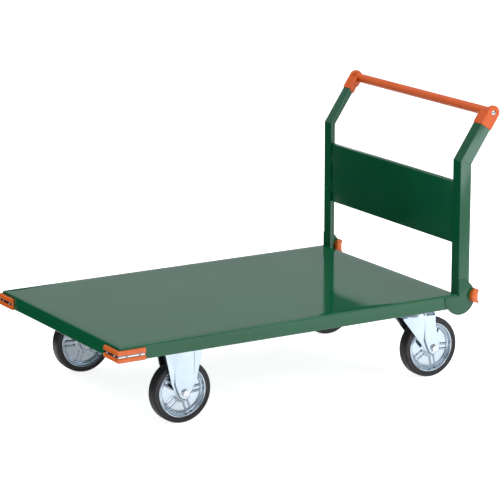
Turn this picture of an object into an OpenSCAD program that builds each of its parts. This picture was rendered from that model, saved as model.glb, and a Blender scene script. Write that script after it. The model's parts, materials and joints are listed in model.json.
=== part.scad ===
// Flat-deck trolley with a welded push handle, two rigid and two swivel casters.
// +X points to the handle, +Z up, the floor is z = 0 and y = 0 is the middle plane.
// Every module draws in deck coordinates, where x = 0 is the deck's front face,
// and placed() then moves it so that the whole trolley is centred over the origin.

/* [Deck] */
// Length of the deck over its folded edges
deck_l = 1206; // [1000:1:1400]
// Width of the deck over its folded edges
deck_w = 782; // [700:1:900]
// Height of the deck's top face above the floor
deck_h = 281; // [278:0.5:290]
// Depth of the folded edges
skirt_h = 46; // [44:1:54]
// Thickness of the deck sheet
sheet_t = 3; // [2:0.5:4]

/* [Handle] */
// Leg of the angle section that the posts are made of
post_leg = 40; // [36:1:44]
// Thickness of the post's angle section
post_t = 4; // [3:0.5:5]
// Height at which the posts bend backwards
bend_h = 706; // [680:1:760]
// Backward tilt of the upper arms from the vertical, in degrees
arm_tilt = 34.3; // [25:0.1:40]
// Distance along the arm from the bend to the grip's axis
grip_reach = 185; // [160:1:220]
// Diameter of the grip
grip_d = 29; // [26:1:34]
// Lower edge of the handle panel
panel_low = 438; // [400:1:480]
// Upper edge of the handle panel
panel_high = 636; // [600:1:660]

/* [Casters] */
// Wheel diameter over the tyre
wheel_d = 196; // [192:1:200]
// Width of the tyre
wheel_w = 42; // [38:1:44]
// Distance from the deck's front face to the rigid casters' axles
front_axle_x = 241; // [200:1:300]
// Distance from the middle plane to the rigid wheels
front_track_half = 317; // [280:1:325]
// Distance from the deck's front face to the swivel casters' axles
rear_axle_x = 1158; // [980:1:1160]
// Distance from the middle plane to the swivel wheels
rear_track_half = 297; // [260:1:300]
// Distance by which a swivel wheel trails behind its swivel axis
trail = 60; // [55:1:62]

/* [Bumpers] */
// Length of each leg of a front corner bumper
corner_leg = 84; // [60:1:100]
// Distance by which a corner bumper stands out from the deck
corner_proud = 9; // [6:1:12]

/* [Hidden] */
$fn = 96;

corners = ["front_left", "front_right", "rear_left", "rear_right"];
front_corners = ["front_left", "front_right"];
rear_corners = ["rear_left", "rear_right"];
sides = ["left", "right"];
bar_numbers = [1:5];

function names(stem, list) = [for (item = list) str(stem, "_", item)];

green = "#1f5a40";
orange = "#d9682e";
steel = "#c9d2d6";
dark_steel = "#8d979c";
rubber = "#26262a";

fit_gap = 0.05;          // radial clearance of the running fits
cut = 1;                 // how far a cutting tool runs past the face it opens

// Deck and frame
skirt_low = deck_h - skirt_h;
fold_r = 5;
lip = 14;                // inward return at the bottom of the folded edges
caster_h = 243;          // top face of the caster plates
bar_h = deck_h - sheet_t - caster_h;
bar_w = 40;
bar_t = 3;
plate_l = 160;
plate_w = 118;
plate_t = 6;
bolt_dx = 60;            // half the bolt pattern along x
bolt_dy = 48;            // half the bolt pattern along y
bolt_r = 5;
bolt_hole_r = 5.5;
swivel_x = rear_axle_x - trail;

// Handle
post_x = deck_l;
side_y = deck_w / 2;
arm_dir = [sin(arm_tilt), cos(arm_tilt)];
arm_back = [cos(arm_tilt), -sin(arm_tilt)];
bend_front = [post_x, bend_h];
grip_back = post_leg / 2; // grip axis behind the arm's front face
grip_at = bend_front + grip_reach * arm_dir + grip_back * arm_back;
bracket_skin = 2.5;      // bracket wall around the post
bracket_r = post_leg / 2 + bracket_skin;
bracket_from = 134;      // lower edge of the bracket along the arm
bracket_cover = 180;     // upper end of the bracket's front wall along the arm
bracket_boss = 12;       // thickness of the bracket's head, inside the post's outer face
arm_len = 160;
gusset_r = 56;
gusset_t = 3.2;
gusset_at = [post_x + 6, deck_h - 11.5];
panel_t = 2;
panel_return = 15;
rear_bumper_r = 22.5;
rear_bumper_w = 40;
rear_bumper_flat = 2.5;   // straight part behind the bumper's half-round
rear_groove_at = 12;      // groove around the bumper, ahead of its flat rear face
rear_groove = 2;          // width and depth of that groove
rear_bumper_x = gusset_at.x + gusset_r + 3.5;

// Whole part, for its origin
x_min = -corner_proud;
x_max = grip_at.x + bracket_r;
x_mid = (x_min + x_max) / 2;

// Wheel and axle
wheel_r = wheel_d / 2;
rim_r = 79;
web_r = 66;
hub_r = 20;
hub_w = 52;
bearing_r = 14;
sleeve_r = 9.5;
axle_r = 7;
leg_t = 4;
leg_face = 36;           // outer face of a fork leg's raised channel, from the wheel's middle
leg_seat = leg_face - leg_t;
rib_count = 5;
rib_phase = [3, 34, -6, 20];

module placed() translate([-x_mid, 0, 0]) children();

// Left is -Y, as someone pushing the trolley sees it
module on_side(name) {
    if (name == "left") children();
    else mirror([0, 1, 0]) children();
}

// Solid between y_a and y_b whose outline is drawn in x and z
module side_slab(y_a, y_b) {
    translate([0, max(y_a, y_b), 0]) rotate([90, 0, 0])
        linear_extrude(abs(y_b - y_a)) children();
}

// Round bar along y, around the axis at x = at.x and z = at.y
module cross_pin(at, r, y_a, y_b) {
    translate([at.x, max(y_a, y_b), at.y]) rotate([90, 0, 0]) cylinder(r = r, h = abs(y_b - y_a));
}

// ---- Deck ----

// Block whose four top edges are rounded
module rounded_top_block(l, w, low, high, r) {
    translate([0, -w / 2, low]) cube([l, w, high - low - r]);
    translate([r, r - w / 2, low]) cube([l - 2 * r, w - 2 * r, high - low]);
    for (y = [r - w / 2, w / 2 - r]) intersection() {
        translate([0, y, high - r]) rotate([0, 90, 0]) cylinder(r = r, h = l);
        translate([r, -w, low]) cube([l - 2 * r, 2 * w, high]);
    }
    for (x = [r, l - r]) intersection() {
        translate([x, w / 2, high - r]) rotate([90, 0, 0]) cylinder(r = r, h = w);
        translate([-l, r - w / 2, low]) cube([3 * l, w - 2 * r, high]);
    }
    for (x = [r, l - r], y = [r - w / 2, w / 2 - r])
        translate([x, y, high - r]) sphere(r = r);
}

module deck_pan() color(green) placed() difference() {
    rounded_top_block(deck_l, deck_w, skirt_low, deck_h, fold_r);
    translate([sheet_t, sheet_t - deck_w / 2, skirt_low + sheet_t])
        cube([deck_l - 2 * sheet_t, deck_w - 2 * sheet_t, skirt_h - 2 * sheet_t]);
    translate([lip, lip - deck_w / 2, skirt_low - cut])
        cube([deck_l - 2 * lip, deck_w - 2 * lip, skirt_h - 2 * sheet_t]);
}

// Crossbar centres along x: one pair over each pair of casters and one bar between them
bar_x = [front_axle_x - bolt_dx, front_axle_x + bolt_dx, (front_axle_x + swivel_x) / 2,
         swivel_x - bolt_dx, swivel_x + bolt_dx];

function has_holes(number) = number != 3;
function bar_station_y(number) = number < 3 ? front_track_half : rear_track_half;

// Channel across the deck, open towards the casters' outside, welded under the sheet
module crossbar(number) color(green) placed() difference() {
    inner_w = deck_w - 2 * sheet_t;
    translate([bar_x[number - 1] - bar_w / 2, -inner_w / 2, caster_h]) cube([bar_w, inner_w, bar_h]);
    translate([bar_x[number - 1] - bar_w / 2 + bar_t, -deck_w, caster_h + bar_t])
        cube([bar_w, 2 * deck_w, bar_h - 2 * bar_t]);
    if (has_holes(number)) {
        for (side = [-1, 1], dy = [-bolt_dy, bolt_dy])
            translate([bar_x[number - 1], side * bar_station_y(number) + dy, caster_h - 1])
                cylinder(r = bolt_hole_r, h = bar_t + 2);
    }
}

// ---- Front corner bumpers ----

bumper_low = skirt_low + 1;
bumper_h = 36;
bumper_mid = bumper_low + bumper_h / 2;
groove_h = 9;
groove_deep = 4;
strip_t = 1.5;
bumper_round = 4;        // radius of the bumper's outer corner

// L-shaped band around the left front corner, standing out between two depths
module corner_band(inner, outer, leg, low, high) {
    difference() {
        translate([-outer, -side_y - outer, low]) cube([leg + outer, leg + outer, high - low]);
        translate([-inner, -side_y - inner, low - cut]) cube([2 * leg, 2 * leg, high - low + 2 * cut]);
    }
}

bumper_screws_at = [20, 64];    // screws from the corner, along each leg
bumper_screw_r = 2.5;

// Places its children at each screw of the left bumper, pointing outwards from a depth
module at_bumper_screws(depth) for (along = bumper_screws_at) {
    translate([along, -side_y - depth, bumper_mid]) rotate([90, 0, 0]) children();
    translate([-depth, -side_y + along, bumper_mid]) rotate([0, -90, 0]) children();
}

module bumper_screw_holes() at_bumper_screws(-cut) cylinder(r = bumper_screw_r, h = corner_proud + 2 * cut);

module corner_bumper(side) color(orange) placed() on_side(side) difference() {
    intersection() {
        corner_band(0, corner_proud, corner_leg, bumper_low, bumper_low + bumper_h);
        translate([-corner_proud, -side_y - corner_proud, 0]) {
            translate([bumper_round, bumper_round, 0]) cylinder(r = bumper_round, h = deck_h);
            translate([bumper_round, 0, 0]) cube([deck_w, deck_w, deck_h]);
            translate([0, bumper_round, 0]) cube([deck_w, deck_w, deck_h]);
        }
    }
    corner_band(corner_proud - groove_deep, corner_proud + cut, corner_leg - 4,
                bumper_mid - groove_h / 2, bumper_mid + groove_h / 2);
    bumper_screw_holes();
}

// Metal strip that lies in the bumper's groove and clamps it to the deck
module bumper_strip(side) color(steel) placed() on_side(side) difference() {
    corner_band(corner_proud - groove_deep, corner_proud - groove_deep + strip_t, corner_leg - 8,
                bumper_mid - 3.5, bumper_mid + 3.5);
    bumper_screw_holes();
}

// Pan-head screw along -Z, its head's seat at z = 0 and its head above
module pan_screw(shank_r, shank_l, head_r, head_h) {
    translate([0, 0, -shank_l]) cylinder(r = shank_r, h = shank_l);
    intersection() {
        cylinder(r = head_r, h = head_h);
        translate([0, 0, head_h - 2.2 * head_r]) sphere(r = 2.2 * head_r);
    }
}

module bumper_screws() color(steel) placed() for (side = sides) on_side(side) {
    seat = corner_proud - groove_deep + strip_t;
    at_bumper_screws(seat) pan_screw(bumper_screw_r, seat, 4.2, 2.2);
}

// ---- Handle ----

function arm_point(along, back) = bend_front + along * arm_dir + back * arm_back;

// Outline of a post's side, from its front face back to the given depth
module post_outline(depth) {
    turn = [post_x + depth, bend_h - depth * tan(arm_tilt / 2)];
    polygon([[post_x, skirt_low], bend_front, arm_point(arm_len, 0),
             arm_point(arm_len, depth), turn, [post_x + depth, skirt_low]]);
}

module post(side) color(green) placed() on_side(side) {
    side_slab(-side_y, -side_y + post_t) post_outline(post_leg);
    side_slab(-side_y + post_t, -side_y + post_leg) post_outline(post_t);
}

// Sheet between the posts, behind their front flanges, its long edges turned back
module handle_panel() color(green) placed() {
    panel_w = deck_w - 2 * post_t;
    x = post_x + post_t;
    translate([x, -panel_w / 2, panel_low]) cube([panel_t, panel_w, panel_high - panel_low]);
    for (z = [panel_low, panel_high - panel_t])
        translate([x, -panel_w / 2, z]) cube([panel_return, panel_w, panel_t]);
}

// Three-quarter disc lapped over the deck's edge and the post's side
module gusset_outline(r) difference() {
    translate(gusset_at) circle(r = r);
    translate([post_x - 2 * r, deck_h - fold_r]) square([2 * r, 2 * r]);
}

module gusset_plate(side) color(green) placed() on_side(side)
    side_slab(-side_y - gusset_t, -side_y) gusset_outline(gusset_r);

// Fillet bead around part of the gusset's edge, drawn as a ring on the deck's side
bead_r = 2.2;
module bead_arc(from, to) {
    translate([gusset_at.x, -side_y, gusset_at.y]) rotate([90, 0, 0]) rotate([0, 0, from])
        rotate_extrude(angle = to - from)
            intersection() {
                translate([gusset_r, 0]) circle(r = bead_r, $fn = 24);
                translate([gusset_r, 0]) square([bead_r, bead_r]);
            }
}

module weld_beads() color(green) placed() for (side = sides) on_side(side) {
    deck_start = 180 - asin((deck_h - fold_r - gusset_at.y) / gusset_r);
    deck_end = 180 + asin((gusset_at.y - skirt_low) / gusset_r);
    bead_arc(deck_start, deck_end);
    post_end = acos((post_x - gusset_at.x) / gusset_r);
    post_start = acos((post_x + post_leg - gusset_at.x) / gusset_r);
    bead_arc(post_start, post_end);
}

// Half-round outline of a rear bumper, drawn smaller by an inset
module rear_bumper_outline(inset) {
    centre = [rear_bumper_x - rear_bumper_flat, gusset_at.y + 1];
    r = rear_bumper_r - inset;
    intersection() {
        translate(centre) circle(r = r);
        translate(centre - [2 * r, 2 * r]) square([2 * r, 4 * r]);
    }
    translate(centre - [0, r]) square([rear_bumper_flat, 2 * r]);
}

// Half-round rubber block pushed over the gusset plate's rear edge, with a groove around it
module rear_bumper(side) color("#d8502c") placed() on_side(side) {
    plate_y = -side_y - gusset_t / 2;
    half = rear_bumper_w / 2;
    groove_x = rear_bumper_x - rear_groove_at;
    difference() {
        side_slab(plate_y - half, plate_y + half) rear_bumper_outline(0);
        difference() {
            translate([groove_x, -deck_w, 0]) cube([rear_groove, deck_w, deck_h + rear_bumper_r]);
            side_slab(plate_y - half + rear_groove, plate_y + half - rear_groove)
                rear_bumper_outline(rear_groove);
        }
        side_slab(-side_y - gusset_t, -side_y) gusset_outline(gusset_r);
    }
}

// End cap that carries the grip: an angle-shaped sleeve over the post's arm and a round head
module bracket_outline() {
    polygon([arm_point(bracket_from, -bracket_skin), arm_point(grip_reach, grip_back - bracket_r),
             arm_point(grip_reach, grip_back + bracket_r),
             arm_point(bracket_from, post_leg + bracket_skin)]);
    translate(grip_at) circle(r = bracket_r);
}

// Part of the arm's outline between two places along it, from the bracket's front to a depth
module arm_band(from, to, depth) {
    polygon([arm_point(from, -bracket_skin), arm_point(to, -bracket_skin),
             arm_point(to, depth), arm_point(from, depth)]);
}

screw_r = 4;
grip_end = 7;            // the grip's ends lie this far inside the posts' outer faces
pipe_r = 11;
pipe_t = 2.5;
pipe_half = side_y - grip_end;
pipe_plug = 36;          // solid, threaded end of the grip's inner pipe

module grip_bracket(side) color(orange) placed() on_side(side) difference() {
    wall = post_t + bracket_skin;
    union() {
        side_slab(-side_y - bracket_skin, -side_y + wall) bracket_outline();
        side_slab(-side_y - bracket_skin, -side_y + bracket_boss) difference() {
            bracket_outline();
            arm_band(0, arm_len, 2 * post_leg);
        }
        side_slab(-side_y - bracket_skin, -side_y + post_leg + bracket_skin)
            arm_band(bracket_from, bracket_cover, wall);
    }
    side_slab(-side_y, -side_y + post_t) post_outline(post_leg);
    side_slab(-side_y + post_t, -side_y + post_leg) post_outline(post_t);
    cross_pin(grip_at, screw_r + 0.2, -side_y - post_leg, 0);
    cross_pin(grip_at, grip_d / 2, -pipe_half, 0);
}

module grip_pipe() color(dark_steel) placed() difference() {
    cross_pin(grip_at, pipe_r, -pipe_half, pipe_half);
    cross_pin(grip_at, screw_r, -deck_w, deck_w);
    cross_pin(grip_at, pipe_r - pipe_t, -pipe_half + pipe_plug, pipe_half - pipe_plug);
}

module grip_sleeve() color(orange) placed() difference() {
    cross_pin(grip_at, grip_d / 2, -pipe_half, pipe_half);
    cross_pin(grip_at, pipe_r, -pipe_half - cut, pipe_half + cut);
}

module grip_screws() color(steel) placed() for (side = sides) on_side(side)
    translate([grip_at.x, -side_y - bracket_skin, grip_at.y]) rotate([90, 0, 0])
        pan_screw(screw_r, pipe_plug + 6, 8, 3.5);

// ---- Casters ----
// A caster is drawn about its wheel's middle plane, with x and z in deck coordinates

function is_front(corner) = corner == "front_left" || corner == "front_right";
function is_left(corner) = corner == "front_left" || corner == "rear_left";
function wheel_y(corner) = is_front(corner) ? front_track_half : rear_track_half;
function axle_at(corner) = [is_front(corner) ? front_axle_x : rear_axle_x, wheel_r];

module at_corner(corner) {
    placed() on_side(is_left(corner) ? "left" : "right") translate([0, -wheel_y(corner), 0]) children();
}

// Point where a line from p touches a circle, on the side picked by turn = 1 or -1
function tangent_point(p, c, r, turn) =
    let (d = norm(c - p), base = atan2(c.y - p.y, c.x - p.x), half = asin(r / d))
    p + sqrt(d * d - r * r) * [cos(base + turn * half), sin(base + turn * half)];

leg_end_r = 24;
leg_lean = 8;            // the flange's foot stands this much nearer the wheel than its top
channel_wall = 3;

module caster_plate(x) {
    difference() {
        translate([x - plate_l / 2, -plate_w / 2, caster_h - plate_t]) cube([plate_l, plate_w, plate_t]);
        for (dx = [-bolt_dx, bolt_dx], dy = [-bolt_dy, bolt_dy])
            translate([x + dx, dy, caster_h - plate_t - 1]) cylinder(r = bolt_hole_r, h = plate_t + 2);
    }
}

// Outline of a leg: straight sides from the top down to the round end about the axle.
// knees are the points left of the axle, then right of it, from the top down.
module leg_outline(at, left, right) {
    centre = at;
    last_left = left[len(left) - 1];
    first_right = right[len(right) - 1];
    left_touch = tangent_point(last_left, centre, leg_end_r, -1);
    right_touch = tangent_point(first_right, centre, leg_end_r, 1);
    polygon(concat(left, [left_touch, centre, right_touch], [for (i = [len(right) - 1:-1:0]) right[i]]));
    translate(centre) circle(r = leg_end_r);
}

// One pressed leg at +Y: a flange that leans inwards and a raised channel that stays upright
module fork_leg(at, top, flange_left, flange_right, channel_left, channel_right) {
    lean = atan2(leg_lean, top - at.y);
    difference() {
        union() {
            intersection() {
                translate([0, leg_face, top]) rotate([-lean, 0, 0]) translate([0, 0, -top])
                    side_slab(-leg_t, 0) leg_outline(at, flange_left, flange_right);
                side_slab(0, leg_face) leg_outline(at, flange_left, flange_right);
            }
            intersection() {
                side_slab(leg_face - leg_t - leg_lean, leg_face) leg_outline(at, channel_left, channel_right);
                translate([0, leg_face, top]) rotate([-lean, 0, 0])
                    translate([-deck_l, -leg_t, -deck_l]) cube([3 * deck_l, 2 * leg_face, deck_l]);
            }
        }
        channel_pocket(at, top, channel_left, channel_right);
        cross_pin(at, axle_r + 0.1, 0, leg_face + 1);
    }
}

// Hollow behind the raised channel, open towards the wheel
module channel_pocket(at, top, channel_left, channel_right) {
    pocket_r = leg_end_r - channel_wall;
    left = [for (p = channel_left) p + [channel_wall, 0]];
    right = [for (p = channel_right) p - [channel_wall, 0]];
    intersection() {
        side_slab(0, leg_seat) {
            translate(at) circle(r = pocket_r);
            polygon(concat(left, [at - [pocket_r, 0], at + [pocket_r, 0]],
                           [for (i = [len(right) - 1:-1:0]) right[i]]));
        }
        cube([2 * deck_l, leg_face, top - plate_t]);
    }
}

fork_low = caster_h - plate_t;

// Half-widths of the rigid fork's flange and channel, with their heights
function rigid_side(turn) = [[front_axle_x + turn * 66, fork_low], [front_axle_x + turn * 42, 128]];
function rigid_channel(turn) = [[front_axle_x + turn * 36, fork_low], [front_axle_x + turn * 36, 128]];

module rigid_fork(corner) color(steel) at_corner(corner) {
    at = axle_at(corner);
    caster_plate(at.x);
    for (turn = [0, 1]) mirror([0, turn, 0])
        fork_leg(at, fork_low, rigid_side(-1), rigid_side(1), rigid_channel(-1), rigid_channel(1));
}

// Swivel head, from the top: plate, race ring, balls, fork crown
crown_top = 209;
crown_t = 5;
race_r = 34;
ball_r = 4;
ball_count = 20;
ball_z = 222;
kingpin_r = 8;
cup_r = 46;              // race cups
cup_bore_r = 26;
race_gap = 0.6;          // half the gap between the two cups
crown_ahead = 62;        // the crown's front edge ahead of the swivel axis
crown_r = 70;

module ball_groove() {
    translate([0, 0, ball_z]) rotate_extrude() translate([race_r, 0]) circle(r = ball_r + 0.3, $fn = 32);
}

module swivel_plate(corner) color(steel) at_corner(corner) difference() {
    union() {
        caster_plate(swivel_x);
        translate([swivel_x, 0, ball_z + race_gap]) cylinder(r = cup_r, h = fork_low - ball_z - race_gap);
    }
    translate([swivel_x, 0, 0]) ball_groove();
    translate([swivel_x, 0, ball_z - cut]) cylinder(r = cup_bore_r, h = fork_low - ball_z + cut);
    translate([swivel_x, 0, 0]) cylinder(r = kingpin_r, h = caster_h + cut);
}

module kingpin(corner) color(dark_steel) at_corner(corner) translate([swivel_x, 0, 0]) {
    nut_h = 9;
    washer_h = 2;
    shoulder_r = 13;
    head_r = 15;
    nut_low = crown_top - crown_t - nut_h - washer_h - 0.3;
    translate([0, 0, nut_low]) cylinder(r = kingpin_r, h = caster_h - nut_low);
    translate([0, 0, nut_low]) cylinder(r = 13.8, h = nut_h, $fn = 6);
    translate([0, 0, nut_low + nut_h]) cylinder(r = head_r, h = washer_h);
    translate([0, 0, fork_low - 3]) cylinder(r = shoulder_r, h = 3);
    translate([0, 0, caster_h]) cylinder(r = head_r, h = 6);
}

module ball_ring(corner) color(steel) at_corner(corner) translate([swivel_x, 0, ball_z])
    for (i = [0:ball_count - 1]) rotate([0, 0, i * 360 / ball_count]) translate([race_r, 0, 0])
        sphere(r = ball_r, $fn = 24);

swivel_flange_left = [[swivel_x - crown_ahead, crown_top]];
swivel_flange_right = [[rear_axle_x + 4, crown_top], [rear_axle_x + 4, 168], [rear_axle_x + 18, 138]];
swivel_channel_left = [[rear_axle_x - 37, crown_top], [rear_axle_x - 37, 128]];

module swivel_fork(corner) color(steel) at_corner(corner) {
    at = axle_at(corner);
    difference() {
        union() {
            intersection() {
                translate([swivel_x - crown_ahead, -leg_face, crown_top - crown_t])
                    cube([crown_ahead + trail + 4, 2 * leg_face, crown_t]);
                translate([swivel_x, 0, 0]) cylinder(r = crown_r, h = crown_top);
            }
            translate([swivel_x, 0, crown_top]) cylinder(r = cup_r, h = ball_z - race_gap - crown_top);
        }
        translate([swivel_x, 0, 0]) ball_groove();
        translate([swivel_x, 0, crown_top]) cylinder(r = cup_bore_r, h = caster_h - crown_top);
        translate([swivel_x, 0, 0]) cylinder(r = kingpin_r + fit_gap, h = caster_h);
    }
    for (turn = [0, 1]) mirror([0, turn, 0])
        fork_leg(at, crown_top, swivel_flange_left, swivel_flange_right, swivel_channel_left,
                 swivel_flange_right);
}

// Four bolts up through the plate and the crossbars, with their nuts above
module caster_bolts(corner) color(steel) at_corner(corner) {
    hex_r = 9.2;
    head_h = 6;
    nut_h = 8;
    shank_l = 24;
    plate_x = is_front(corner) ? front_axle_x : swivel_x;
    for (dx = [-bolt_dx, bolt_dx], dy = [-bolt_dy, bolt_dy]) translate([plate_x + dx, dy, 0]) {
        translate([0, 0, fork_low - head_h]) cylinder(r = hex_r, h = head_h, $fn = 6);
        translate([0, 0, fork_low]) cylinder(r = bolt_r, h = shank_l);
        difference() {
            translate([0, 0, caster_h + bar_t]) cylinder(r = hex_r, h = nut_h, $fn = 6);
            translate([0, 0, caster_h]) cylinder(r = bolt_r, h = shank_l);
        }
    }
}

// ---- Wheels ----
// Solids of revolution about the wheel's axis, from outlines of [radius, width] points

module wheel_solid(at) {
    translate([at.x, 0, at.y]) rotate([90, 0, 0]) rotate_extrude($fn = 128) children();
}

function mirrored(points) = concat(points, [for (i = [len(points) - 1:-1:0]) [points[i].x, -points[i].y]]);

module tyre(corner) color(rubber) at_corner(corner) {
    half = wheel_w / 2;
    tyre_side = [[rim_r - 2, half - 5], [rim_r + 2, half - 2.5], [wheel_r - 10, half - 2.5],
                 [wheel_r - 9, half - 0.5], [wheel_r - 7, half], [wheel_r - 3.5, half - 1.6],
                 [wheel_r - 1, half - 5], [wheel_r, half - 10]];
    wheel_solid(axle_at(corner)) polygon(mirrored(tyre_side));
}

// Two pressed discs back to back with a seat for the tyre, radial ribs and a hub tube
module rim(corner) color(steel) at_corner(corner) {
    at = axle_at(corner);
    half = wheel_w / 2;
    index = search([corner], corners)[0];
    wheel_solid(at) {
        polygon(mirrored([[rim_r - 4.5, half - 4], [rim_r - 3, half - 1.5], [rim_r + 1, half - 1.5],
                          [rim_r + 1, half - 2.5], [rim_r - 2, half - 5]]));
        polygon(mirrored([[web_r, 4], [web_r + 2, 10], [rim_r - 4.5, 12], [rim_r - 4, 12]]));
        polygon(mirrored([[bearing_r, hub_w / 2], [hub_r, hub_w / 2], [hub_r + 3, 14], [30, 9],
                          [web_r + 1, 9]]));
    }
    for (turn = [0, 1], i = [0:rib_count - 1], dx = [-8, 8])
        mirror([0, turn, 0]) translate([at.x, 0, at.y])
            rotate([0, -rib_phase[index] - i * 360 / rib_count, 0])
                translate([32, -11.5, dx - 2.5]) cube([web_r - 33, 5, 5]);
}

module wheel_bearing(corner) color("#b0905a") at_corner(corner) difference() {
    cross_pin(axle_at(corner), bearing_r, -hub_w / 2, hub_w / 2);
    cross_pin(axle_at(corner), sleeve_r + fit_gap, -hub_w / 2 - 1, hub_w / 2 + 1);
}

// Tube clamped between the fork's legs, with a collar outside each end of the hub
module axle_sleeve(corner) color(dark_steel) at_corner(corner) difference() {
    at = axle_at(corner);
    union() {
        cross_pin(at, sleeve_r, -leg_seat, leg_seat);
        for (turn = [-1, 1]) cross_pin(at, bearing_r + 1, turn * (hub_w / 2 + 0.5), turn * leg_seat);
    }
    cross_pin(at, axle_r, -leg_face, leg_face);
}

module axle_bolt(corner) color(steel) at_corner(corner) {
    at = axle_at(corner);
    hex_r = 12;
    head_h = 8;
    nut_h = 10;
    thread_end = 2;      // thread standing out of the nut
    cross_pin(at, axle_r, -leg_face, leg_face + nut_h + thread_end);
    translate([at.x, -leg_face, at.y]) rotate([90, 0, 0]) cylinder(r = hex_r, h = head_h, $fn = 6);
    difference() {
        translate([at.x, leg_face + nut_h, at.y]) rotate([90, 0, 0]) cylinder(r = hex_r, h = nut_h, $fn = 6);
        cross_pin(at, axle_r, 0, 2 * leg_face);
    }
}

// ---- Nodes ----

deck_pan();
for (number = bar_numbers)
    crossbar(number);
for (side = sides) {
    corner_bumper(side);
    bumper_strip(side);
    post(side);
    gusset_plate(side);
    rear_bumper(side);
    grip_bracket(side);
}
bumper_screws();
handle_panel();
weld_beads();
grip_pipe();
grip_sleeve();
grip_screws();
for (corner = front_corners)
    rigid_fork(corner);
for (corner = rear_corners) {
    swivel_plate(corner);
    kingpin(corner);
    ball_ring(corner);
    swivel_fork(corner);
}
for (corner = corners) {
    caster_bolts(corner);
    tyre(corner);
    rim(corner);
    wheel_bearing(corner);
    axle_sleeve(corner);
    axle_bolt(corner);
}
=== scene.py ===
import json
import math

import bmesh
import bpy
from mathutils import Matrix, Vector, noise


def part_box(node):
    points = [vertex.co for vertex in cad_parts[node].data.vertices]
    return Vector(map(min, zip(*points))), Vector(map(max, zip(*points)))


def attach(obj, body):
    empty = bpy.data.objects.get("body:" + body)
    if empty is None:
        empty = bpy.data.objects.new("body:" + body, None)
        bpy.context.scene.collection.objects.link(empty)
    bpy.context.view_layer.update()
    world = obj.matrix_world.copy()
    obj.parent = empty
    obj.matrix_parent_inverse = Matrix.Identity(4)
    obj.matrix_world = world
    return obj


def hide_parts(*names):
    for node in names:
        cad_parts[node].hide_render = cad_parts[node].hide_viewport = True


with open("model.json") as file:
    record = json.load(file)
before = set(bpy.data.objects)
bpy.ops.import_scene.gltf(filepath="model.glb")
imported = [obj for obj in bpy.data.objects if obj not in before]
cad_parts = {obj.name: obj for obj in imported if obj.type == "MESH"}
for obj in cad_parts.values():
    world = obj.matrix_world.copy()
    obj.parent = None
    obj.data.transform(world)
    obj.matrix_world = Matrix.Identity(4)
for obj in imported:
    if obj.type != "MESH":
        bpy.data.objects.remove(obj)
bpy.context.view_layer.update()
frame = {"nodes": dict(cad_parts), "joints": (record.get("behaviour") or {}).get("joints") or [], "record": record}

MM = 0.001
SIDES = ("left", "right")
FRONT = ("front_left", "front_right")
REAR = ("rear_left", "rear_right")
CORNERS = FRONT + REAR
CROSSBARS = [f"crossbar_{number}" for number in range(1, 6)]

# ---------------- places, from the frame

deck_lo, deck_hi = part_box("deck_pan")
post_lo, post_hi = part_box("post_left")
panel_lo, panel_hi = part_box("handle_panel")
sleeve_lo, sleeve_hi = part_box("grip_sleeve")
gusset_lo, gusset_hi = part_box("gusset_plate_left")
joint_at = {j["name"]: Vector(j["pos_m"]) for j in frame["joints"]}

SHEET = 3 * MM
FOLD_R = 5 * MM
LIP = 14 * MM
POST_X = post_lo.x
SIDE_Y = deck_hi.y
POST_LEG = post_hi.y - post_lo.y
POST_T = 4 * MM
ARM_TILT = math.radians(34.3)
BEND_Z = 706 * MM
ARM_LEN = 160 * MM
GRIP = Vector(((sleeve_lo.x + sleeve_hi.x) / 2, (sleeve_lo.z + sleeve_hi.z) / 2))
GRIP_R = (sleeve_hi.z - sleeve_lo.z) / 2
ARM_DIR = Vector((math.sin(ARM_TILT), math.cos(ARM_TILT)))
ARM_BACK = Vector((math.cos(ARM_TILT), -math.sin(ARM_TILT)))
BEND = Vector((POST_X, BEND_Z))


def side_sign(name):
    """-1 for a piece on the left (-Y) side, +1 for one on the right."""
    return -1 if name.endswith("left") else 1


def axle(corner):
    return joint_at[f"wheel_{corner}_spin"]


def wheel_body(corner):
    return f"wheel_{corner}"


def fork_body(corner):
    return "frame" if corner in FRONT else f"swivel_{corner}"


# ---------------- materials

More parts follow.
